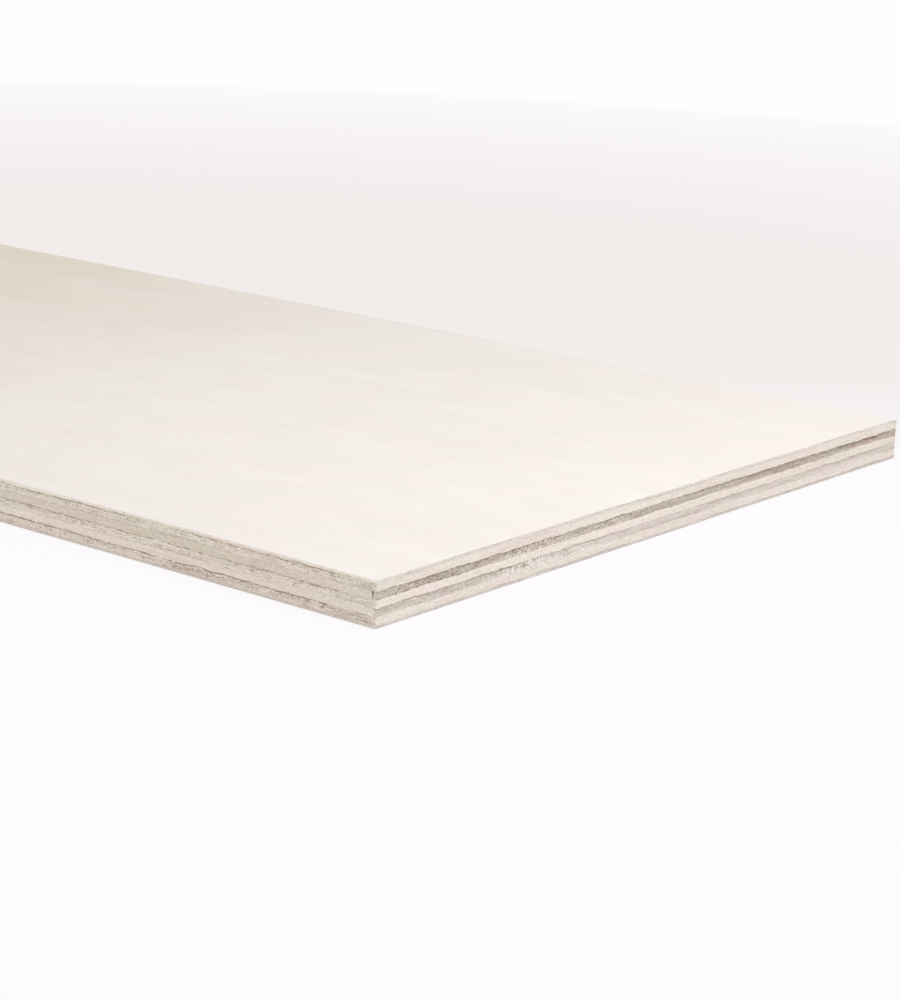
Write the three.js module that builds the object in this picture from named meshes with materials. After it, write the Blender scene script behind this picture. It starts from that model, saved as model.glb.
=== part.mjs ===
// Seven-ply poplar plywood sheet, lying flat.
// Units are millimetres and +Z is up. The origin is at the middle of the underside.
// X runs along the sheet's length and Y across its width.

import * as THREE from 'three';

// ---- Driving dimensions ----

const sheetLength = 600;
const sheetWidth = 300;
const faceVeneerThickness = 1.0;
const backVeneerThickness = 1.0;
const corePlyThickness = 2.6;
const corePlyCount = 5; // odd, so that each veneer crosses the core ply it is glued to
const arrisRadius = 0.3; // rounding along the edges of the two show faces
const cornerRadius = 0.2; // rounding of a show face's own corners, inside the arris
const arcSteps = 4; // straight stretches in a quarter round

// A bite broken out of one core ply beside the sheet's front right corner. It is widest and
// deepest at the ply's upper side and runs out to a nick at its lower side.
const chippedPly = 2; // counted down from the face veneer
const chipMargin = 0.25; // wood left between the corner's rounding and the bite
const chipWidth = 1.2;
const chipDepth = 1.0;
const nickWidth = 0.3;
const nickDepth = 0.25;

// ---- Wood ----

// Each ply's grain runs square to the grain of the plies above and below it.
const veneerWood = { color: 0xf5ece3, roughness: 0.6 };
const lengthwiseCoreWood = { color: 0xc4b7a9, roughness: 0.85 };
const crosswiseCoreWood = { color: 0xe6dccf, roughness: 0.8 };

// ---- Outlines ----

// The sheet seen from above, set in from its sawn edges. A bite of a given width and depth may
// be cut into its front edge. The points run anticlockwise.
function sheetOutline(inset, biteWidth = 0, biteDepth = 0) {
  const right = sheetLength / 2 - inset;
  const back = sheetWidth / 2 - inset;
  const radius = cornerRadius + arrisRadius - inset;
  const outline = new THREE.Shape();
  outline.moveTo(radius - right, -back);
  if (biteWidth > 0) {
    const biteMiddle = right - radius - chipMargin - chipWidth / 2;
    outline.lineTo(biteMiddle - biteWidth / 2, -back);
    outline.absellipse(biteMiddle, -back, biteWidth / 2, biteDepth, Math.PI, 0, true);
  }
  outline.lineTo(right - radius, -back);
  outline.absarc(right - radius, radius - back, radius, -Math.PI / 2, 0);
  outline.lineTo(right, back - radius);
  outline.absarc(right - radius, back - radius, radius, 0, Math.PI / 2);
  outline.lineTo(radius - right, back);
  outline.absarc(radius - right, back - radius, radius, Math.PI / 2, Math.PI);
  outline.lineTo(-right, radius - back);
  outline.absarc(radius - right, radius - back, radius, Math.PI, Math.PI * 1.5);
  return outline;
}

// Shape.getPoints() makes two stretches of each arc for every division asked for.
const arcDivisions = arcSteps / 2;

// ---- Plies ----

// A core ply is sawn square: its outline pushed straight up by its thickness.
function corePlyGeometry() {
  return new THREE.ExtrudeGeometry(sheetOutline(0), {
    depth: corePlyThickness,
    bevelEnabled: false,
    curveSegments: arcDivisions,
  });
}

// The chipped ply is lofted from an outline with the nick to one with the full bite.
function chippedPlyGeometry() {
  const lowerRing = openRing(sheetOutline(0, nickWidth, nickDepth));
  const upperRing = openRing(sheetOutline(0, chipWidth, chipDepth));
  return loftGeometry([lowerRing, upperRing], [0, corePlyThickness]);
}

// A show veneer stands on its glued side and is lofted through ever smaller outlines, so that
// the arris round its outer face is a quarter round.
function showVeneerGeometry(thickness) {
  const levels = [{ inset: 0, height: 0 }];
  for (let step = 0; step <= arcSteps; step += 1) {
    const angle = (Math.PI / 2) * (step / arcSteps);
    levels.push({
      inset: arrisRadius * (1 - Math.cos(angle)),
      height: thickness - arrisRadius * (1 - Math.sin(angle)),
    });
  }
  const rings = levels.map(({ inset }) => openRing(sheetOutline(inset)));
  return loftGeometry(rings, levels.map(({ height }) => height));
}

// The points of an outline, without the last one that closes it onto the first.
function openRing(outline) {
  return outline.getPoints(arcDivisions).slice(0, -1);
}

// A closed body through rings of equally many points, one above the other, capped at both ends.
function loftGeometry(rings, heights) {
  const pointsPerRing = rings[0].length;
  const positions = rings.flatMap((ring, level) => ring.flatMap(({ x, y }) => [x, y, heights[level]]));
  const triangles = [];
  for (let level = 1; level < rings.length; level += 1) {
    const lower = (level - 1) * pointsPerRing;
    const upper = level * pointsPerRing;
    for (let point = 0; point < pointsPerRing; point += 1) {
      const next = (point + 1) % pointsPerRing;
      triangles.push(lower + point, lower + next, upper + next);
      triangles.push(lower + point, upper + next, upper + point);
    }
  }
  for (const [a, b, c] of THREE.ShapeUtils.triangulateShape(rings[0], [])) {
    triangles.push(a, c, b);
  }
  const topLevel = (rings.length - 1) * pointsPerRing;
  for (const [a, b, c] of THREE.ShapeUtils.triangulateShape(rings.at(-1), [])) {
    triangles.push(topLevel + a, topLevel + b, topLevel + c);
  }
  const geometry = new THREE.BufferGeometry();
  geometry.setAttribute('position', new THREE.Float32BufferAttribute(positions, 3));
  geometry.setIndex(triangles);
  geometry.computeVertexNormals();
  return geometry;
}

function plyMesh(name, geometry, wood) {
  const mesh = new THREE.Mesh(geometry, new THREE.MeshStandardMaterial({ ...wood, metalness: 0 }));
  mesh.name = name;
  return mesh;
}

// ---- Lay-up ----

const sheet = new THREE.Group();

// The back veneer is turned over, so that its show face is the underside.
const backVeneer = plyMesh('back_veneer', showVeneerGeometry(backVeneerThickness), veneerWood);
backVeneer.rotation.x = Math.PI;
backVeneer.position.z = backVeneerThickness;
sheet.add(backVeneer);

// The core plies are numbered from the face down and glued one on the other.
for (let number = 1; number <= corePlyCount; number += 1) {
  const wood = number % 2 === 0 ? lengthwiseCoreWood : crosswiseCoreWood;
  const geometry = number === chippedPly ? chippedPlyGeometry() : corePlyGeometry();
  const corePly = plyMesh(`core_ply_${number}`, geometry, wood);
  corePly.position.z = backVeneerThickness + (corePlyCount - number) * corePlyThickness;
  sheet.add(corePly);
}

const faceVeneer = plyMesh('face_veneer', showVeneerGeometry(faceVeneerThickness), veneerWood);
faceVeneer.position.z = backVeneerThickness + corePlyCount * corePlyThickness;
sheet.add(faceVeneer);

export default sheet;
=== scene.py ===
# %% [markdown]
# # A sheet of seven-ply poplar plywood
# Plywood is a stack of wood veneers, each glued across the grain of the next. The frame holds
# the seven plies as plain slabs of the right size. This lesson replaces each slab with a leaf
# of the same size whose sawn edges have real relief, and gives every surface its wood.
# Lengths are in metres. X runs along the sheet, Y across it and Z up.

# %% Load the frame
import math

import bmesh
import bpy
from mathutils import Euler, Matrix, Vector


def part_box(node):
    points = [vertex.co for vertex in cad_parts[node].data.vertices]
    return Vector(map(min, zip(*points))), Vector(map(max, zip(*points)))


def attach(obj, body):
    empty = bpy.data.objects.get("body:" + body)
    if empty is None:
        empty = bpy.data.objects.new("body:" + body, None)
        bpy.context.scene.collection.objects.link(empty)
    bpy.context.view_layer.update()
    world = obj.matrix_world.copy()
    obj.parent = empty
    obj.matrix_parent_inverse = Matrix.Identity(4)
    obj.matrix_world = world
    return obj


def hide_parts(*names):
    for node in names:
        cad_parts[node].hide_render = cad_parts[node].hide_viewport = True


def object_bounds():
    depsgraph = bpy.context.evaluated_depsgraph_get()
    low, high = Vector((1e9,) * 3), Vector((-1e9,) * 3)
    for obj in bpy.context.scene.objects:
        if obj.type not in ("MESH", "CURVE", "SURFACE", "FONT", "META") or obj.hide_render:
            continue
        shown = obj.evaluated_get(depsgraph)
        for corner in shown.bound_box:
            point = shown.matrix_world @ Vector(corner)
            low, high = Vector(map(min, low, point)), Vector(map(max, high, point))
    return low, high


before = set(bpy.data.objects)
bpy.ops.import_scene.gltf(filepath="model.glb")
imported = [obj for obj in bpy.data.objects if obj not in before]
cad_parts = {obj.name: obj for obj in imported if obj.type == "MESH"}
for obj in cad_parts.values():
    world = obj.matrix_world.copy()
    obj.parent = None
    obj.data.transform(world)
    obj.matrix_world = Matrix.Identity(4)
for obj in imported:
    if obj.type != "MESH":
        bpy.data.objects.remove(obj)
cad_low, cad_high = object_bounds()
mm = 0.001
sheet_size = (cad_high - cad_low) / mm
print(f"sheet {sheet_size.x:.0f} x {sheet_size.y:.0f} x {sheet_size.z:.0f} mm")

# %% [markdown]
# ## Camera
# The sheet is seen from low down, past one of its corners, through a long lens that keeps the
# edges nearly parallel. The camera is turned first. Then it is moved back along its own axis
# until that corner has the right distance, and sideways until it lands on the right pixel.

# %% Camera
picture_width, picture_height = 900, 1000
focal_pixels = 2728.3
camera_azimuth = math.radians(38.8)
camera_elevation = math.radians(15.0)
camera_roll = math.radians(1.93)
corner_pixel = Vector((376.6, 580.9))
corner_depth = 0.8008

bpy.ops.object.select_all(action="DESELECT")
bpy.ops.object.camera_add()
camera = bpy.context.object
camera.name = "camera"
camera.data.sensor_width = 36
camera.data.lens = focal_pixels / picture_height * camera.data.sensor_width
camera.data.clip_start = 0.05
camera.data.clip_end = 20
turn = Euler((math.pi / 2 - camera_elevation, 0, camera_azimuth)).to_matrix()
turn = turn @ Matrix.Rotation(camera_roll, 3, "Z")
near_corner = Vector((cad_high.x, cad_low.y, cad_high.z))
metres_per_pixel = corner_depth / focal_pixels
corner_seen = Vector((
    (corner_pixel.x - picture_width / 2) * metres_per_pixel,
    (picture_height / 2 - corner_pixel.y) * metres_per_pixel,
    -corner_depth,
))
camera.rotation_euler = turn.to_euler()
camera.location = near_corner - turn @ corner_seen
bpy.context.scene.camera = camera
print("camera at", [round(value, 3) for value in camera.location])

# %% [markdown]
# ## Node helpers
# A material is a small network of nodes. A few helpers keep the networks short. The first fills
# or links one socket, and the second adds a node and fills its inputs. The others are steps that
# every material here repeats: a change of range, a blend of two colours, a colour written as a
# painter reads it, and an empty matt material to start from.


# %% Node helpers
def fill(tree, socket, value):
    """Links a socket to another one, or gives it a plain value."""
    if isinstance(value, bpy.types.NodeSocket):
        tree.links.new(value, socket)
    else:
        socket.default_value = value


def add_node(tree, kind, inputs, **settings):
    """A shader node with its settings, and each named or numbered input filled."""
    made = tree.nodes.new("ShaderNode" + kind)
    for name, value in settings.items():
        setattr(made, name, value)
    for name, value in inputs.items():
        fill(tree, made.inputs[name], value)
    return made


def remap(tree, value, low, high, new_low, new_high):
    """A value's range from low to high stretched to a new range, and held at its ends."""
    inputs = {0: value, 1: low, 2: high, 3: new_low, 4: new_high}
    return add_node(tree, "MapRange", inputs).outputs["Result"]


def blend(tree, factor, first, second):
    """A colour between two others: the first at factor 0, the second at factor 1."""
    # Of a Mix node's many sockets, 6, 7 and the output 2 are the ones for colours.
    inputs = {0: factor, 6: first, 7: second}
    return add_node(tree, "Mix", inputs, data_type="RGBA").outputs[2]


def linear(red, green, blue):
    """A colour written from 0 to 255 as a painter reads it, as the light that nodes mix."""
    channels = [value / 255 for value in (red, green, blue)]
    light = [c / 12.92 if c <= 0.04045 else ((c + 0.055) / 1.055) ** 2.4 for c in channels]
    return (*light, 1.0)


def new_material(name, roughness, specular):
    """An empty matt material: itself, its node tree and its Principled BSDF."""
    material = bpy.data.materials.new(name)
    material.use_nodes = True
    shader = material.node_tree.nodes["Principled BSDF"]
    shader.inputs["Roughness"].default_value = roughness
    shader.inputs["Specular IOR Level"].default_value = specular
    return material, material.node_tree, shader


# %% [markdown]
# ## Floor and light
# The sheet lies on a white table in a soft, bright room. The table is one plain face, far wider
# than the view.

# %% Floor
floor_size = 14

bpy.ops.object.select_all(action="DESELECT")
bpy.ops.mesh.primitive_plane_add(size=floor_size, location=(0, 0, cad_low.z))
floor = bpy.context.object
floor.name = "floor"
print("floor", floor_size, "m wide")

# %% [markdown]
# The table's own colour lights the sawn edges from below. A real white table would show the
# camera all its shading. This one shows it mostly a plain white, with a painted soft shadow that
# makes it a little greyer behind the sheet, and white again far off. It keeps a share of its real
# shading: a small one in the open, for the soft shadow, and a larger one close to the sheet, for
# the dark line of contact.

# %% Table white
contact_share = 0.28
contact_reach = 0.5 * mm
open_share = 0.1
front_white = linear(255, 253, 255)
# The rear tone is a painted soft shadow on the table behind the sheet.
painted_rear_shadow = linear(244, 238, 237)
backwards = (-0.63, 0.78, 0)
rear_starts, rear_full = -0.1, 0.06
far_starts, far_full = 0.5, 1.1


def seen_rays(tree):
    """1 for a ray from the camera, straight, mirrored or through glass, and 0 for all others."""
    rays = add_node(tree, "LightPath", {}).outputs
    seen = rays["Is Camera Ray"]
    for ray in ("Is Glossy Ray", "Is Transmission Ray"):
        seen = add_node(tree, "Math", {0: seen, 1: rays[ray]}, operation="MAXIMUM").outputs[0]
    return seen


table_white, tree, shader = new_material("table_white", roughness=0.9, specular=0.1)
shader.inputs["Base Color"].default_value = linear(246, 243, 242)
place = add_node(tree, "TexCoord", {}).outputs["Object"]
away = add_node(tree, "VectorMath", {0: place, 1: backwards}, operation="DOT_PRODUCT")
rearness = remap(tree, away.outputs["Value"], rear_starts, rear_full, 0, 1)
from_middle = add_node(tree, "VectorMath", {0: place}, operation="LENGTH").outputs["Value"]
farness = remap(tree, from_middle, far_starts, far_full, 0, 1)
white = blend(tree, rearness, front_white, painted_rear_shadow)
white = blend(tree, farness, white, front_white)
glow = add_node(tree, "Emission", {0: white, 1: 1.0})
reach = place
for operation, vector in (
    ("ABSOLUTE", (0, 0, 0)), ("SUBTRACT", (cad_high.x, cad_high.y, 0)), ("MAXIMUM", (0, 0, 0))
):
    reach = add_node(tree, "VectorMath", {0: reach, 1: vector}, operation=operation).outputs[0]
clearance = add_node(tree, "VectorMath", {0: reach}, operation="LENGTH").outputs["Value"]
whiteness = remap(tree, clearance, 0, contact_reach, 1 - contact_share, 1 - open_share)
inputs = {0: whiteness, 1: farness}
whiteness = add_node(tree, "Math", inputs, operation="MAXIMUM").outputs[0]
inputs = {0: whiteness, 1: shader.outputs[0], 2: glow.outputs[0]}
pale = add_node(tree, "MixShader", inputs).outputs[0]
inputs = {0: seen_rays(tree), 1: shader.outputs[0], 2: pale}
look = add_node(tree, "MixShader", inputs).outputs[0]
fill(tree, tree.nodes["Material Output"].inputs["Surface"], look)
floor.data.materials.append(table_white)
print(table_white.name, "has", len(tree.nodes), "nodes")

# %% [markdown]
# The room beyond the table looks white too, so that the table has no visible end. Several lamps
# could light the sheet, but soft daylight comes from one side. So the sky is even, and one large
# lamp hangs over the near corner and a little towards the short edge: the short edge is the
# bright one, and the light falls off along the face.

# %% Light
sky_strength = 0.72
lamp_size = 0.4
lamp_height = 0.6
lamp_power = 1.4
lamp_offset = Vector((0.24, 0.15))

world = bpy.data.worlds.new("soft_room")
world.use_nodes = True
tree = world.node_tree
sky = tree.nodes["Background"]
sky.inputs["Color"].default_value = linear(255, 253, 252)
sky.inputs["Strength"].default_value = sky_strength
haze = add_node(tree, "Background", {"Color": front_white, "Strength": 1.0})
rays = add_node(tree, "LightPath", {})
inputs = {0: rays.outputs["Is Camera Ray"], 1: sky.outputs[0], 2: haze.outputs[0]}
room = add_node(tree, "MixShader", inputs).outputs[0]
fill(tree, tree.nodes["World Output"].inputs["Surface"], room)
bpy.context.scene.world = world

bpy.ops.object.select_all(action="DESELECT")
lamp_place = (near_corner.x + lamp_offset.x, near_corner.y + lamp_offset.y, lamp_height)
bpy.ops.object.light_add(type="AREA", location=lamp_place)
lamp = bpy.context.object
lamp.name = "lamp"
lamp.data.shape = "DISK"
lamp.data.size = lamp_size
lamp.data.energy = lamp_power
print("lamp at", [round(value, 2) for value in lamp.location])

# %% [markdown]
# ## Sawing a leaf
# A leaf is a slab far wider than it is thick, and only its sawn edges need fine geometry. So
# its outline is cut into short lengths first, as a bare wire, and pushed up into a wall whose
# height is cut into rows. Its two flat sides are then closed with one face each. Cutting the
# slab as a whole would put millions of faces where nothing shows.


# %% Choosing by place
def choose(kind, test):
    """In edit mode, selects the vertices, edges or faces that pass a test, and no others."""
    bpy.ops.mesh.select_mode(type=kind)
    bpy.ops.mesh.select_all(action="DESELECT")
    mesh = bmesh.from_edit_mesh(bpy.context.object.data)
    for element in {"VERT": mesh.verts, "EDGE": mesh.edges, "FACE": mesh.faces}[kind]:
        if test(element):
            element.select_set(True)
    bmesh.update_edit_mesh(bpy.context.object.data)


def middle(edge):
    """The middle of an edge."""
    return (edge.verts[0].co + edge.verts[1].co) / 2


# %% Outline
corner_radius = 0.5 * mm
round_segments = 3
edge_spacings = (20 * mm, 0.4 * mm)
tolerance = 0.001 * mm


def trace_outline(z):
    """A new wire outline of the sheet with rounded corners, left in edit mode."""
    bpy.ops.object.select_all(action="DESELECT")
    bpy.ops.mesh.primitive_plane_add(size=1, location=(0, 0, z))
    leaf = bpy.context.object
    leaf.scale = (sheet_size.x * mm, sheet_size.y * mm, 1)
    bpy.ops.object.transform_apply(location=True, rotation=True, scale=True)
    bpy.ops.object.mode_set(mode="EDIT")
    bpy.ops.mesh.select_all(action="SELECT")
    bpy.ops.mesh.bevel(offset=corner_radius, segments=round_segments, affect="VERTICES")
    bpy.ops.mesh.select_all(action="SELECT")
    bpy.ops.mesh.delete(type="ONLY_FACE")
    return leaf


def divide_outline():
    """Cuts the long edges of the outline evenly, first into coarse and then into fine lengths."""
    for spacing in edge_spacings:
        mesh = bmesh.from_edit_mesh(bpy.context.object.data)
        lengths = {round(edge.calc_length(), 6) for edge in mesh.edges}
        for length in sorted(lengths):
            if length > 1.5 * spacing:
                choose("EDGE", lambda edge: abs(edge.calc_length() - length) < tolerance)
                bpy.ops.mesh.subdivide(number_cuts=round(length / spacing) - 1)


# %% [markdown]
# One core ply has lost a splinter beside the near corner. The bite is cut into the wire: two
# cuts mark its mouth, the edge between them is pushed inwards, and its inner corners are
# rounded before the mouth is opened. Once the walls stand, it is narrowed towards its foot.

# %% Bite
bitten_ply = "core_ply_2"
bite_margin = 0.25 * mm
bite_width = 1.2 * mm
bite_depth = 1.0 * mm
bite_rounding = 0.45 * mm
bite_foot = 0.25
bite_tolerance = 0.01 * mm
bite_middle = cad_high.x - corner_radius - bite_margin - bite_width / 2


def cut_bite(z):
    """Opens the bite in the front edge of an outline, near its right end."""
    for x in (bite_middle - bite_width / 2, bite_middle + bite_width / 2):
        bpy.ops.mesh.select_all(action="SELECT")
        bpy.ops.mesh.bisect(plane_co=(x, 0, 0), plane_no=(1, 0, 0))
    mouth = Vector((bite_middle, cad_low.y, z))
    choose("EDGE", lambda edge: (middle(edge) - mouth).length < bite_tolerance)
    bpy.ops.mesh.extrude_region_move(TRANSFORM_OT_translate={"value": (0, bite_depth, 0)})
    bpy.ops.mesh.select_mode(type="VERT")
    bpy.ops.mesh.bevel(offset=bite_rounding, segments=round_segments, affect="VERTICES")
    choose("EDGE", lambda edge: (middle(edge) - mouth).length < bite_tolerance)
    bpy.ops.mesh.delete(type="EDGE")


def in_bite(point):
    """Whether a point is on the rim or the wall of the bite."""
    return abs(point.x - bite_middle) < bite_width / 2 + bite_tolerance and point.y < 0


def narrow_bite(low_z, high_z):
    """Narrows the bite from its full size at the top of the wall to a nick at its foot."""
    mesh = bmesh.from_edit_mesh(bpy.context.object.data)
    rows = sorted({round(vert.co.z, 6) for vert in mesh.verts})
    for row in rows:
        share = bite_foot + (1 - bite_foot) * (row - low_z) / (high_z - low_z)
        centre = (bite_middle, cad_low.y, row)
        choose("VERT", lambda vert: abs(vert.co.z - row) < tolerance and in_bite(vert.co))
        bpy.ops.transform.resize(value=(share, share, 1), center_override=centre)


# %% [markdown]
# A flat side is closed from its rim inwards. The rim is extruded ring by ring along a profile:
# a quarter round where the side shows, and a small step on a glued side, so that two glued
# plies share a fine groove. A last flat ring keeps the shading of the rim off the big face.

# %% Walls and flat sides
row_height = 0.325 * mm
arris_radius = 0.3 * mm
groove_size = 0.06 * mm
ring_width = 1.2 * mm
arris_steps = [math.radians(angle) for angle in (0, 30, 60, 90)]
show_profile = [
    (arris_radius * (1 - math.cos(angle)), arris_radius * (1 - math.sin(angle)))
    for angle in arris_steps
]
show_profile.append((arris_radius + ring_width, 0))
glued_profile = [(0, groove_size), (groove_size, 0), (groove_size + ring_width, 0)]


def raise_walls(height):
    """Pushes the outline up and cuts the wall into rows."""
    bpy.ops.mesh.select_all(action="SELECT")
    bpy.ops.mesh.extrude_region_move(TRANSFORM_OT_translate={"value": (0, 0, height)})
    choose("EDGE", lambda edge: abs(edge.verts[0].co.z - edge.verts[1].co.z) > height / 2)
    bpy.ops.mesh.subdivide(number_cuts=round(height / row_height) - 1)


def close_side(z, upward, profile):
    """Closes the flat side at z through rings given as (inset, distance below the side)."""
    inset, drop = profile[0]
    rim = z - upward * drop
    choose("EDGE", lambda edge: all(abs(vert.co.z - rim) < tolerance for vert in edge.verts))
    for next_inset, next_drop in profile[1:]:
        rise = upward * (drop - next_drop)
        bpy.ops.mesh.extrude_region_move(TRANSFORM_OT_translate={"value": (0, 0, rise)})
        shrink_x = (cad_high.x - next_inset) / (cad_high.x - inset)
        shrink_y = (cad_high.y - next_inset) / (cad_high.y - inset)
        bpy.ops.transform.resize(value=(shrink_x, shrink_y, 1), center_override=(0, 0, z))
        inset, drop = next_inset, next_drop
    bpy.ops.mesh.edge_face_add()


# %% [markdown]
# A whole leaf takes these steps in turn: its outline, the bite if it has one, its walls, its
# lower side and its upper side. A slab with a bevel would be quicker to make, but its walls
# would be too coarse to carry the relief.


# %% A whole leaf
def saw_leaf(node):
    """A closed leaf in the place of a CAD ply, with fine walls and no relief yet."""
    low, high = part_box(node)
    lower_profile = show_profile if node == "back_veneer" else glued_profile
    upper_profile = show_profile if node == "face_veneer" else glued_profile
    low_rim = low.z + lower_profile[0][1]
    high_rim = high.z - upper_profile[0][1]
    leaf = trace_outline(low_rim)
    leaf.name = node + "_leaf"
    if node == bitten_ply:
        cut_bite(low_rim)
    divide_outline()
    raise_walls(high_rim - low_rim)
    if node == bitten_ply:
        narrow_bite(low_rim, high_rim)
    close_side(low.z, -1, lower_profile)
    close_side(high.z, 1, upper_profile)
    bpy.ops.mesh.select_all(action="SELECT")
    bpy.ops.mesh.normals_make_consistent(inside=False)
    bpy.ops.object.mode_set(mode="OBJECT")
    return leaf


# %% [markdown]
# ## Wood by place
# A sawn ply shows side grain along its fibres and end grain across them, and the plies lie
# crosswise in turn. So each wall of a leaf takes its wood from the way that wall faces. The
# faces are sorted now, while the walls are still plumb.

# %% Sorting faces
flat_share = 0.98
walls = {"front": ("Y", 1), "back": ("Y", -1), "left": ("X", 1), "right": ("X", -1)}


def distance_inside(point, wall):
    """How far a point lies inside the plane of a wall."""
    axis, inwards = walls[wall]
    index = "XY".index(axis)
    return (point[index] - (cad_low if inwards > 0 else cad_high)[index]) * inwards


def sort_faces(leaf, flat_wood, long_wall_wood, short_wall_wood):
    """Gives a leaf three materials: flat sides, the two long walls and the two short ones."""
    for material in (flat_wood, long_wall_wood, short_wall_wood):
        leaf.data.materials.append(material)
    for polygon in leaf.data.polygons:
        normal = [abs(value) for value in polygon.normal]
        flat = normal[2] > flat_share
        polygon.material_index = 0 if flat else 1 if normal[1] > normal[0] else 2


# %% [markdown]
# ## A map of each leaf
# A map lays a leaf out flat, so that its colours can be painted on a square page. The walls are
# a ribbon 1.8 m long and less than 3 mm high, which would be a hair on such a page. So the
# ribbon is cut into lines, stacked like the lines of a text. The flat sides share the foot of
# the page, and the glued side of a veneer needs only a small place.

# %% Ribbon
ribbon = {
    "front": (Vector((cad_low.x, cad_low.y, 0)), Vector((1, 0, 0)), 0),
    "right": (Vector((cad_high.x, cad_low.y, 0)), Vector((0, 1, 0)), sheet_size.x * mm),
    "back": (
        Vector((cad_high.x, cad_high.y, 0)), Vector((-1, 0, 0)),
        (sheet_size.x + sheet_size.y) * mm,
    ),
    "left": (
        Vector((cad_low.x, cad_high.y, 0)), Vector((0, -1, 0)),
        (2 * sheet_size.x + sheet_size.y) * mm,
    ),
}


def insets(point):
    """How far a point is inside the short walls and inside the long walls."""
    return cad_high.x - abs(point.x), cad_high.y - abs(point.y)


def wall_at(point):
    """The wall that a point at the rim of the sheet belongs to."""
    inside_short, inside_long = insets(point)
    if inside_short < min(inside_long, corner_radius):
        return "right" if point.x > 0 else "left"
    return "back" if point.y > 0 else "front"


def place_on_ribbon(point, wall):
    """How far round the sheet a point is. The bite is drawn in, so that it folds out flat."""
    corner, direction, start = ribbon[wall]
    length = start + (point - corner).dot(direction)
    if in_bite(point) and wall == "front":
        length -= (point.x - bite_middle) * insets(point)[1] / bite_depth / 2
    return length


# %% [markdown]
# Then each corner of a face gets its place on the page. On a flat side that is its place on the
# sheet, scaled down. On a wall it is how far round the sheet it is and how high. The arris of a
# veneer rounds over from the wall to the face, so it is folded out onto the wall's line.

# %% Map of a leaf
page_size = 1024
page_margin = 4
shown_scale = 1.5 / mm
shut_scale = 0.17 / mm
core_scale = 0.5 / mm
line_length = 80 * mm
arris_room = 0.45 * mm
ribbon_scale = (page_size - 2 * page_margin) / line_length


def draw_map(leaf, node, low, high):
    """Lays out the walls and the flat sides of a leaf on one page."""
    veneer = "veneer" in node
    main_scale, other_scale = (shown_scale, shut_scale) if veneer else (core_scale, core_scale)
    shown_side = -1 if node == "back_veneer" else 1
    room = arris_room if veneer else 0
    middle_z = (low.z + high.z) / 2
    first_line = 2 * page_margin + sheet_size.y * mm * main_scale
    first_line -= min(shown_side, 0) * room * ribbon_scale
    line_pitch = (high.z - low.z + room) * ribbon_scale + page_margin
    beside = 2 * page_margin + sheet_size.x * mm * main_scale
    page = leaf.data.uv_layers.new(name="OFBake")
    for polygon in leaf.data.polygons:
        side = math.copysign(1, polygon.normal.z)
        flat = abs(polygon.normal.z) > flat_share
        wall = wall_at(polygon.center)
        line = math.floor(place_on_ribbon(polygon.center, wall) / line_length)
        for corner in polygon.loop_indices:
            point = leaf.data.vertices[leaf.data.loops[corner].vertex_index].co
            if flat:
                scale = main_scale if side == shown_side else other_scale
                across = page_margin if side == shown_side else beside
                across += (cad_high.x + side * point.x) * scale
                up = page_margin + (cad_high.y + point.y) * scale
            else:
                length = place_on_ribbon(point, wall) - line * line_length
                rise = point.z - low.z
                if veneer and (point.z - middle_z) * shown_side > 0:
                    rise += shown_side * min(insets(point))
                across = page_margin + length * ribbon_scale
                up = first_line + line * line_pitch + rise * ribbon_scale
            page.uv[corner].vector = (across / page_size, up / page_size)


# %% [markdown]
# ## Relief
# A saw leaves side grain almost smooth, but it crushes end grain, tears its upper rim and opens
# its pores. Each kind of relief is a Displace modifier that reads clouds. The clouds are mapped
# from an empty, which is as large along X, Y and Z as one cloud is meant to be. On the walls
# they only push inwards, so the sheet never outgrows its box.

# %% Relief helpers
wall_depth = arris_radius + 0.02 * mm


def group_of(leaf, name, weigh):
    """A vertex group, from a function that gives the weight of a vertex by its number."""
    group = leaf.vertex_groups.new(name=name)
    for vertex in leaf.data.vertices:
        weight = weigh(vertex.index)
        if weight > 0.01:
            group.add([vertex.index], weight, "REPLACE")


def displace(leaf, group, axis, strength, middle_level, cells, contrast=1.0):
    """Moves a vertex group along an axis by clouds with the given sizes in millimetres."""
    bpy.ops.object.empty_add(location=(0, 0, 0))
    ruler = bpy.context.object
    ruler.scale = [cell * mm for cell in cells]
    clouds = bpy.data.textures.new("clouds", "CLOUDS")
    clouds.noise_scale = 1.0
    clouds.contrast = contrast
    clouds.use_clamp = True
    modifier = leaf.modifiers.new("relief", "DISPLACE")
    modifier.texture = clouds
    modifier.texture_coords = "OBJECT"
    modifier.texture_coords_object = ruler
    modifier.direction = axis
    modifier.vertex_group = group
    modifier.mid_level = middle_level
    modifier.strength = strength
    bpy.context.view_layer.objects.active = leaf
    bpy.ops.object.modifier_apply(modifier=modifier.name)
    bpy.data.objects.remove(ruler)
    bpy.data.textures.remove(clouds)


def along(grain, length, width, thickness):
    """Sizes in a ply, ordered along X, Y and Z for fibres that run along X or Y."""
    return (length, width, thickness) if grain == "X" else (width, length, thickness)


# %% [markdown]
# No veneer is perfectly even, so the lines between the plies wander a little. All leaves are
# lifted by the same clouds, so that two neighbours still meet. The lift fades out towards the
# top and the bottom of the sheet, which stay flat. Each vertex first notes its height within
# its ply, from 0 to 1, so that colours can follow the wandering lines.

# %% Wandering glue lines
wander_waves = [((30, 30, 2.5), 0.4 * mm), ((7, 7, 2), 0.5 * mm), ((2, 2, 1), 0.25 * mm)]
wander_fade = 1.0 * mm


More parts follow.
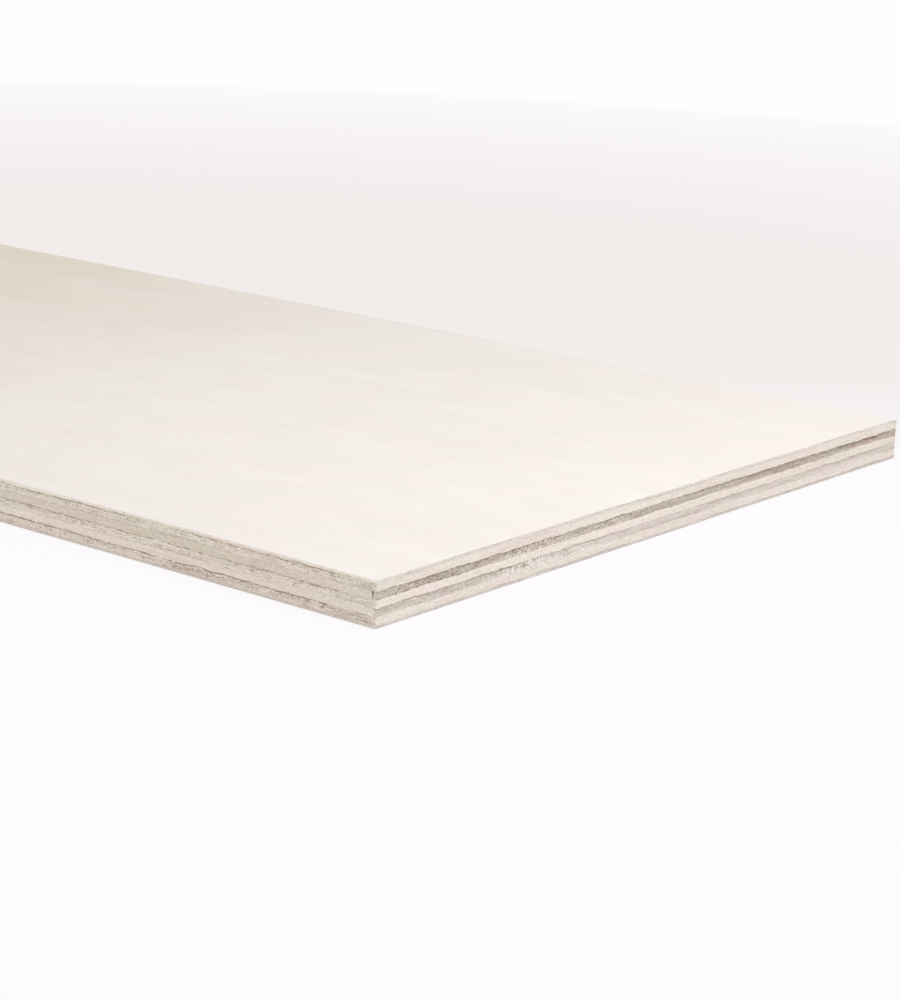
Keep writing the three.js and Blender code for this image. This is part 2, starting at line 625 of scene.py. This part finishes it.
def note_heights(leaf, low, high):
    """Stores each vertex's height within its ply, from 0 to 1."""
    heights = leaf.data.attributes.new("height_in_ply", "FLOAT", "POINT")
    for vertex in leaf.data.vertices:
        heights.data[vertex.index].value = (vertex.co.z - low.z) / (high.z - low.z)


def wander(leaf):
    """Lets the upper and lower rim of a leaf's walls wander up and down."""
    points = [vertex.co.copy() for vertex in leaf.data.vertices]

    def freedom(index):
        point = points[index]
        if min(distance_inside(point, wall) for wall in walls) > wall_depth:
            return 0
        room = min(point.z - cad_low.z, cad_high.z - point.z)
        return min(room / wander_fade, 1)

    group_of(leaf, "free", freedom)
    for cells, height in wander_waves:
        displace(leaf, "free", "Z", height, 0.5, cells, contrast=1.5)


# %% [markdown]
# The saw's relief comes in layers, from broad to fine. On end grain it is a crushed surface,
# open pores and a torn upper rim. On side grain it is long shallow grooves along the fibres.
# Both carry the upright marks of the saw's teeth.

# %% Sawn walls
saw_marks = ((1.2, 1.2, 30), 0.04 * mm, 1.0)
crushed_grain = ((6, 6, 1.2), 0.12 * mm, 1.0)
open_pores = ((0.7, 0.7, 0.7), 0.22 * mm, 2.0)
torn_rim = ((2.5, 2.5, 0.8), 0.35 * mm, 2.5)
torn_from = 0.78


def saw_walls(leaf, grain, coarse, torn):
    """Presses the marks of the saw into all four walls of a leaf."""
    points = [vertex.co.copy() for vertex in leaf.data.vertices]
    heights = [datum.value for datum in leaf.data.attributes["height_in_ply"].data]
    fine_grooves = (along(grain, 12, 0.6, 0.6), 0.06 * mm, 1.0)
    broad_grooves = (along(grain, 60, 1.2, 1.2), 0.06 * mm, 1.0)
    for wall, (axis, inwards) in walls.items():
        inside = [distance_inside(point, wall) < wall_depth for point in points]
        group_of(leaf, wall, lambda index: inside[index])
        across_grain = grain == axis
        layers = [crushed_grain, open_pores] if across_grain else [fine_grooves, broad_grooves]
        share = coarse if across_grain else 1.0
        for cells, depth, contrast in [*layers, saw_marks]:
            displace(leaf, wall, axis, inwards * depth * share, 0, cells, contrast)
        if across_grain and torn:
            rim = wall + "_rim"
            reach = 1 - torn_from
            group_of(leaf, rim, lambda i: inside[i] * max(heights[i] - torn_from, 0) / reach)
            cells, depth, contrast = torn_rim
            displace(leaf, rim, axis, inwards * depth * torn, 0, cells, contrast)


# %% [markdown]
# ## Woods
# Poplar is a pale, plain wood. A cut along the fibres shows long fine streaks. A cut across them
# drinks in light through its pores, so it is darker and speckled. Where the saw caught it, it has
# crooked cracks with painted shade in them and a painted highlight beside them, and where the rim
# is torn, a painted shadow line. Each wood mixes a light and a dark tone of one shade by a sum of
# patterns, and the same sum lowers and dulls what is dark.


# %% Pattern helpers
def noise(tree, cells, detail=2.0, distortion=0.0):
    """Noise from 0 to 1 whose blotches have the given sizes in millimetres along X, Y and Z."""
    place = add_node(tree, "TexCoord", {}).outputs["Object"]
    scale = [1 / (cell * mm) for cell in cells]
    stretched = add_node(tree, "Mapping", {"Vector": place, "Scale": scale}).outputs[0]
    inputs = {"Vector": stretched, "Scale": 1.0, "Detail": detail, "Distortion": distortion}
    return add_node(tree, "TexNoise", inputs).outputs["Fac"]


def multiply(tree, first, second):
    """The product of two values."""
    return add_node(tree, "Math", {0: first, 1: second}, operation="MULTIPLY").outputs[0]


def weighted_sum(tree, shares):
    """The sum of several values, each times its share."""
    total = 0.0
    for value, share in shares:
        inputs = {0: value, 1: share, 2: total}
        total = add_node(tree, "Math", inputs, operation="MULTIPLY_ADD").outputs[0]
    return total


def band(tree, value, start, end):
    """0 where a value is before start, 1 past end, and even between them."""
    return remap(tree, value, start, end, 0.0, 1.0)


def distance(tree, value, place):
    """How far a value is from a place, either way."""
    offset = add_node(tree, "Math", {0: value, 1: place}, operation="SUBTRACT").outputs[0]
    return add_node(tree, "Math", {0: offset}, operation="ABSOLUTE").outputs[0]


def height_in_ply(tree):
    """The height within the ply that each vertex noted."""
    return add_node(tree, "Attribute", {}, attribute_name="height_in_ply").outputs["Fac"]


# %% [markdown]
# The marks of the saw need more than one noise each, and they paint light and shade into the
# wood. The torn rim is a painted shadow line whose height sways, and a second noise breaks it.
# Raised slivers below it get a painted highlight. A crack is a line of painted shade where a
# noise crosses its middle, with a painted highlight beside it on a lip where the wood stands up.
# Splinters are small upright cells with a painted highlight, and the gaps between them hold
# painted shade. All this could be painted as a picture, but a formula stays sharp up close and
# never repeats.

# %% Marks of the saw
glue_reach = 0.06


def glue_line(tree):
    """The thin line of glue at the lower rim of a ply."""
    return band(tree, height_in_ply(tree), glue_reach, 0.0)


def torn_shadow_and_glints(tree):
    """A broken painted shadow under the upper rim of a ply, with painted highlights on raised
    slivers below it.
    """
    sway = noise(tree, (5, 5, 5), 2.0, 0.5)
    inputs = {0: sway, 1: 0.5, 2: height_in_ply(tree)}
    height = add_node(tree, "Math", inputs, operation="MULTIPLY_ADD").outputs[0]
    shadow = band(tree, distance(tree, height, 1.14), 0.12, 0.04)
    holes = band(tree, noise(tree, (2.6, 2.6, 0.8), 2.0, 0.8), 0.4, 0.56)
    stretches = remap(tree, noise(tree, (40, 40, 40), 1.0), 0.4, 0.6, 0.4, 1.0)
    lit_slivers = band(tree, distance(tree, height, 0.98), 0.1, 0.03)
    raised = band(tree, noise(tree, (2.0, 2.0, 0.8), 2.0, 0.8), 0.48, 0.58)
    return multiply(tree, stretches, weighted_sum(tree, [
        (multiply(tree, shadow, holes), 1.0), (multiply(tree, lit_slivers, raised), -0.6),
    ]))


def cracks_with_shade_and_glints(tree, cells, width):
    """Painted shade in crooked cracks where a noise crosses its middle, each with a painted
    highlight on a lip beside it.
    """
    field = noise(tree, cells, 1.5, 0.9)
    # The crack lines are painted shade, and the lips beside them are painted highlights.
    lines = band(tree, distance(tree, field, 0.5), width, 0.0)
    lip_highlights = band(tree, distance(tree, field, 0.5 + 2.2 * width), width, 0.0)
    here = band(tree, noise(tree, (8, 8, 1.6), 1.0), 0.42, 0.55)
    return multiply(tree, here, weighted_sum(tree, [(lines, 1.0), (lip_highlights, -0.7)]))


def splinter_glints_and_shade(tree):
    """Upright splinters lit by a painted highlight, below 0, with dark gaps of painted shade
    between them, above 0.
    """
    return remap(tree, noise(tree, (0.7, 0.7, 1.5), 1.0, 0.4), 0.4, 0.6, 0.75, -1.05)


# %% [markdown]
# Other patterns depend on where they are. Darkness leans to one rim of a ply here and to the
# other rim there. A streak keeps its place across the grain, so it runs through the whole sheet
# and comes out at both ends. The inside of a pit is painted in shade, and it is known by its
# distance from the walls.

# %% Patterns by place
pit_starts, pit_full = 0.3 * mm, 0.8 * mm


def leaning(tree):
    """Darkness that leans to the upper rim of a ply in one place and to the lower in another."""
    lean = remap(tree, noise(tree, (45, 45, 45), 1.0), 0.38, 0.62, -0.4, 0.4)
    inputs = {0: height_in_ply(tree), 1: 0.5}
    from_middle = add_node(tree, "Math", inputs, operation="SUBTRACT").outputs[0]
    return multiply(tree, from_middle, lean)


def streak(tree, grain, middle_place, half_width):
    """A streak along the grain: 1 along its middle, and 0 past its half width."""
    place = add_node(tree, "TexCoord", {}).outputs["Object"]
    across = "Y" if grain == "X" else "X"
    side = add_node(tree, "SeparateXYZ", {0: place}).outputs[across]
    return band(tree, distance(tree, side, middle_place), half_width, half_width / 3)


def in_pit(tree):
    """0 on a sawn wall and 1 deep in a pit where wood has broken out of it, where its painted
    shade is full.
    """
    place = add_node(tree, "TexCoord", {}).outputs["Object"]
    spread = add_node(tree, "VectorMath", {0: place}, operation="ABSOLUTE").outputs[0]
    inputs = {0: cad_high, 1: spread}
    inside = add_node(tree, "VectorMath", inputs, operation="SUBTRACT").outputs[0]
    sides = add_node(tree, "SeparateXYZ", {0: inside}).outputs
    depth = add_node(tree, "Math", {0: sides["X"], 1: sides["Y"]}, operation="MINIMUM").outputs[0]
    return band(tree, depth, pit_starts, pit_full)


# %% [markdown]
# A dark tone of a wood is not just dimmer than its light one: it is also a little redder. Over
# that, the whole wood drifts between a little pink and a little grey-green from place to place.

# %% Finishing a wood
dark_tint = (0.9, 1.0, 1.07)
hue_cells = (20, 20, 9)
pink_tint = (1.0, 0.97, 0.972, 1.0)
grey_tint = (0.978, 1.0, 0.972, 1.0)
# Painted shade for the inside of a pit.
painted_pit_shade = (0.6, 0.54, 0.48, 1.0)
light_roughness, dark_roughness = 0.62, 0.85


def tones(shade, contrast, average):
    """A light and a dark tone that give the shade where the patterns have their average."""
    light = [value + contrast * average * share for value, share in zip(shade, dark_tint)]
    dark = [value - contrast * (1 - average) * share for value, share in zip(shade, dark_tint)]
    return linear(*light), linear(*dark)


def finish_wood(tree, shader, darkness, light_wood, dark_wood, bump_distance, tint):
    """Colours, dulls and lowers a surface by its darkness, and tints it."""
    colour = blend(tree, darkness, light_wood, dark_wood)
    inputs = {0: 1.0, 6: colour, 7: tint}
    mixed = add_node(tree, "Mix", inputs, data_type="RGBA", blend_type="MULTIPLY")
    fill(tree, shader.inputs["Base Color"], mixed.outputs[2])
    dullness = remap(tree, darkness, 0.0, 1.0, light_roughness, dark_roughness)
    fill(tree, shader.inputs["Roughness"], dullness)
    inputs = {"Height": darkness, "Distance": bump_distance, "Strength": 1.0}
    bump = add_node(tree, "Bump", inputs, invert=True).outputs[0]
    fill(tree, shader.inputs["Normal"], bump)


def drifting_hue(tree):
    """A tint that drifts between a little pink and a little grey-green."""
    pinkness = band(tree, noise(tree, hue_cells, 1.0), 0.4, 0.62)
    return blend(tree, pinkness, grey_tint, pink_tint)


# %% [markdown]
# Side grain is wood cut along its fibres. It could be one stretched noise, but real wood has
# marks of several sizes at once: fine fibres, broader streaks, open vessels and slow stains.
# So each has a noise of its own, stretched along the grain, and a mottling and a woolly nap lie
# over them all.

# %% Side grain
def side_grain(name, grain, shade):
    """Wood cut along its fibres."""
    material, tree, shader = new_material(name, roughness=0.7, specular=0.25)
    fibres = band(tree, noise(tree, along(grain, 18, 0.3, 0.3), 2.0), 0.35, 0.7)
    streaks = band(tree, noise(tree, along(grain, 30, 0.9, 0.9), 1.5), 0.35, 0.7)
    vessels = band(tree, noise(tree, along(grain, 5, 0.16, 0.16), 1.0), 0.62, 0.78)
    stain = band(tree, noise(tree, along(grain, 60, 8, 8), 1.0), 0.4, 0.7)
    mottling = band(tree, noise(tree, (4, 4, 0.9), 2.5, 1.0), 0.38, 0.66)
    nap = band(tree, noise(tree, (1.5, 1.5, 0.5), 1.0, 0.5), 0.35, 0.65)
    darkness = weighted_sum(tree, [
        (fibres, 0.15), (streaks, 0.15), (vessels, 0.2), (stain, 0.2), (mottling, 0.2),
        (nap, 0.45), (glue_line(tree), 0.3),
    ])
    light_wood, dark_wood = tones(shade, contrast=40, average=0.555)
    # Deep in a pit the wood is painted in shade.
    tint = blend(tree, in_pit(tree), drifting_hue(tree), painted_pit_shade)
    finish_wood(tree, shader, darkness, light_wood, dark_wood, 0.03 * mm, tint)
    return material


# %% [markdown]
# End grain shows the cut ends of the fibres. Its pores and rings lie in level layers, because
# the veneer was peeled off a log. The saw adds strokes, pale flecks, curled cracks and a torn
# rim, and the cracks, the torn rim and its splinters carry painted light and shade. One noise is
# too even for all that. So each mark is a pattern of its own, and a ply says how much of them it
# shows, and where.

# %% End grain
plain_darkness = 0.42
red_tint = (1.0, 0.88, 0.86, 1.0)


def end_grain(name, grain, shade, torn, speckled, sloped, streaks):
    """Wood cut across its fibres: torn, speckled and ringed, with streaks that differ, and
    painted light and shade at its tears, cracks and splinters.
    """
    material, tree, shader = new_material(name, roughness=0.8, specular=0.15)
    pores = band(tree, noise(tree, along(grain, 15, 0.9, 0.55), 1.5), 0.4, 0.62)
    strokes = band(tree, noise(tree, (2.4, 2.4, 0.6), 2.0, 1.2), 0.48, 0.66)
    patches = band(tree, noise(tree, (14, 14, 1.8), 2.0, 0.5), 0.35, 0.7)
    flecks = band(tree, noise(tree, (1.5, 1.5, 0.45), 1.0, 0.8), 0.58, 0.7)
    rings = band(tree, noise(tree, (22, 22, 0.7), 2.0, 0.4), 0.4, 0.6)
    speckle = weighted_sum(tree, [
        (pores, 0.2), (strokes, 0.3), (patches, 0.08), (flecks, -0.35), (rings, 0.2),
        # Cracks add painted shade with a painted highlight beside them.
        (cracks_with_shade_and_glints(tree, (3.0, 3.0, 0.8), 0.04), 0.3 + 0.6 * torn),
        # The torn rim adds a painted shadow and painted highlights.
        (torn_shadow_and_glints(tree), 1.1 * torn),
    ])
    shapes = [
        (streak(tree, grain, place, half_width), darker, rougher, chipped)
        for place, half_width, darker, rougher, chipped in streaks
    ]
    heart = weighted_sum(tree, [(shape, darker) for shape, darker, _, _ in shapes])
    rough = [(shape, rougher) for shape, _, rougher, _ in shapes]
    chips = weighted_sum(tree, [(shape, chipped) for shape, _, _, chipped in shapes])
    clusters = remap(tree, noise(tree, (18, 18, 18), 1.0), 0.4, 0.6, 0.65, 1.0)
    fullness = multiply(tree, weighted_sum(tree, [(1.0, speckled), *rough]), clusters)
    inputs = {0: fullness, 2: plain_darkness, 3: speckle}
    uneven = add_node(tree, "Mix", inputs, clamp_factor=False).outputs[0]
    rimward = remap(tree, height_in_ply(tree), 0.0, 1.0, 0.2, 1.8)
    darkness = weighted_sum(tree, [
        (uneven, 1.0), (multiply(tree, heart, rimward), 1.0), (height_in_ply(tree), sloped),
        (leaning(tree), 1.0), (glue_line(tree), 0.15),
        # Chipped streaks get painted highlights on their splinters and painted shade between
        # them.
        (multiply(tree, chips, splinter_glints_and_shade(tree)), 1.0),
    ])
    light_wood, dark_wood = tones(shade, contrast=90, average=plain_darkness + sloped / 2)
    tint = blend(tree, band(tree, heart, 0.2, 0.3), drifting_hue(tree), red_tint)
    finish_wood(tree, shader, darkness, light_wood, dark_wood, 0.06 * mm, tint)
    return material


# %% [markdown]
# The show face is the wide, sanded side of a veneer. Peeling cuts the growth rings so flat that
# they show as wide wavy bands. A wave texture would make them too regular. The sine of a slow
# noise nests them like contour lines. The tones are close together. Towards one end the face is
# painted slowly darker and yellower: partly its own yellowing, partly painted shade for the
# dimmer, warmer light there.

# %% Show face
# Painted shade: the face is tinted darker and yellower towards one end, partly its own yellowing
# and partly dimmer, warmer light.
yellow_tint = (0.93, 0.895, 0.78, 1.0)
yellow_starts, yellow_full = 110 * mm, -90 * mm
yellow_sway = 0.1


def show_face(name, shade):
    """The wide face of a rotary-cut veneer: a quiet wavy figure, fine fibres and pores."""
    material, tree, shader = new_material(name, roughness=0.6, specular=0.25)
    hills = noise(tree, (260, 60, 400), 2.0, 0.6)
    turns = multiply(tree, hills, 55.0)
    rings = add_node(tree, "Math", {0: turns}, operation="SINE").outputs[0]
    figure = band(tree, rings, -1.0, 1.0)
    veins = band(tree, noise(tree, (90, 1.8, 400), 3.0, 0.3), 0.35, 0.65)
    fibres = band(tree, noise(tree, (22, 0.35, 5), 2.0), 0.35, 0.7)
    pores = band(tree, noise(tree, (3, 0.22, 5), 1.0), 0.66, 0.8)
    mottling = band(tree, noise(tree, (45, 30, 10), 4.0, 1.0), 0.3, 0.7)
    darkness = weighted_sum(tree, [
        (figure, 0.1), (veins, 0.14), (fibres, 0.12), (pores, 0.4), (mottling, 0.22),
    ])
    light_wood, dark_wood = tones(shade, contrast=18, average=0.3)
    place = add_node(tree, "TexCoord", {}).outputs["Object"]
    lengthwise = add_node(tree, "SeparateXYZ", {0: place}).outputs["X"]
    inputs = {0: noise(tree, (150, 40, 400), 2.0), 1: yellow_sway, 2: lengthwise}
    swayed = add_node(tree, "Math", inputs, operation="MULTIPLY_ADD").outputs[0]
    lanes = remap(tree, noise(tree, (300, 50, 400), 2.0), 0.4, 0.6, 0.6, 1.0)
    # The yellowing towards one end is partly the wood's own and partly painted shade.
    yellowing_and_shade = multiply(tree, band(tree, swayed, yellow_starts, yellow_full), lanes)
    tint = blend(tree, 0.2, (1.0, 1.0, 1.0, 1.0), drifting_hue(tree))
    tint = blend(tree, yellowing_and_shade, tint, yellow_tint)
    finish_wood(tree, shader, darkness, light_wood, dark_wood, 0.01 * mm, tint)
    return material


# %% [markdown]
# ## The leaves
# No two plies come from the same trunk, so each ply has a row of its own. It gives the way of
# the grain, the shade of the side grain and that of the end grain, and how the end grain took
# the saw: how coarse its relief is, how badly its upper rim is torn, which also sets the painted
# shadows and highlights of its tears and cracks, how strongly it is speckled, and how much darker
# it is at its upper rim than at its lower one. Some plies also have streaks in their end grain.
# A streak has a place across the grain and a half width. It is darker than the wood around it,
# more strongly speckled, or chipped into splinters with painted highlights and painted shade
# between them.

# %% Plies
plies = {
    "back_veneer": ("X", (234, 226, 218), (209, 201, 194), 0.2, 0.0, 0.85, 0.1),
    "core_ply_5": ("Y", (241, 233, 226), (231, 217, 206), 1.0, 1.0, 1.0, 0.0),
    "core_ply_4": ("X", (247, 237, 225), (217, 208, 200), 1.0, 0.4, 0.45, 0.1),
    "core_ply_3": ("Y", (243, 235, 227), (228, 217, 204), 1.0, 0.7, 1.0, 0.0),
    "core_ply_2": ("X", (235, 224, 211), (191, 178, 166), 1.0, 0.6, 0.85, 0.2),
    "core_ply_1": ("Y", (242, 234, 226), (228, 217, 204), 1.0, 0.6, 1.0, 0.0),
    "face_veneer": ("X", (250, 242, 233), (222, 214, 207), 0.2, 0.0, 0.7, 0.1),
}
ply_streaks = {
    "back_veneer": [(150 * mm, 100 * mm, 0.07, 0.0, 0.0)],
    "core_ply_5": [(285 * mm, 90 * mm, 0.1, 0.1, 0.0)],
    "core_ply_4": [
        (-70 * mm, 45 * mm, 0.0, 0.7, 0.0), (-80 * mm, 14 * mm, 0.0, 0.0, 0.5),
        (-130 * mm, 60 * mm, 0.2, 0.4, 0.0),
    ],
    "core_ply_2": [
        (124 * mm, 22 * mm, 0.27, 0.4, 0.0), (68 * mm, 30 * mm, 0.14, 0.0, 0.0),
        (-50 * mm, 45 * mm, 0.0, 0.6, 0.0), (-77 * mm, 18 * mm, 0.0, 0.0, 0.5),
        (-130 * mm, 30 * mm, 0.07, 0.6, 0.0),
    ],
}
print("plies from the back up:", ", ".join(plies))

# %% [markdown]
# Every leaf is made in the same steps. It is sawn, given its woods and its map, and then made
# rough. The map comes before the relief, so that it is drawn on plain flat walls. Each leaf
# replaces one plain ply of the frame and lies where that ply lies.

# %% Leaves
crease_angle = math.radians(60)
veneer_face = show_face("veneer_face", (253, 247, 242))

for node, (grain, side, end, coarse, torn, speckled, sloped) in plies.items():
    low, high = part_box(node)
    streaks = ply_streaks.get(node, [])
    sawn_along = side_grain(node + "_side_grain", grain, side)
    sawn_across = end_grain(node + "_end_grain", grain, end, torn, speckled, sloped, streaks)
    leaf = saw_leaf(node)
    if "veneer" in node:
        sort_faces(leaf, veneer_face, sawn_along, sawn_across)
    elif grain == "X":
        sort_faces(leaf, sawn_along, sawn_along, sawn_across)
    else:
        sort_faces(leaf, sawn_along, sawn_across, sawn_along)
    draw_map(leaf, node, low, high)
    note_heights(leaf, low, high)
    wander(leaf)
    saw_walls(leaf, grain, coarse, torn)
    bpy.ops.object.shade_smooth_by_angle(angle=crease_angle)
    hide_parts(node)
    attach(leaf, "root")
    print(leaf.name, "has", len(leaf.data.polygons), "faces")

# %% [markdown]
# ## Colours
# The colours are shown as they are written.

# %% Finish
bpy.context.scene.view_settings.view_transform = "Standard"
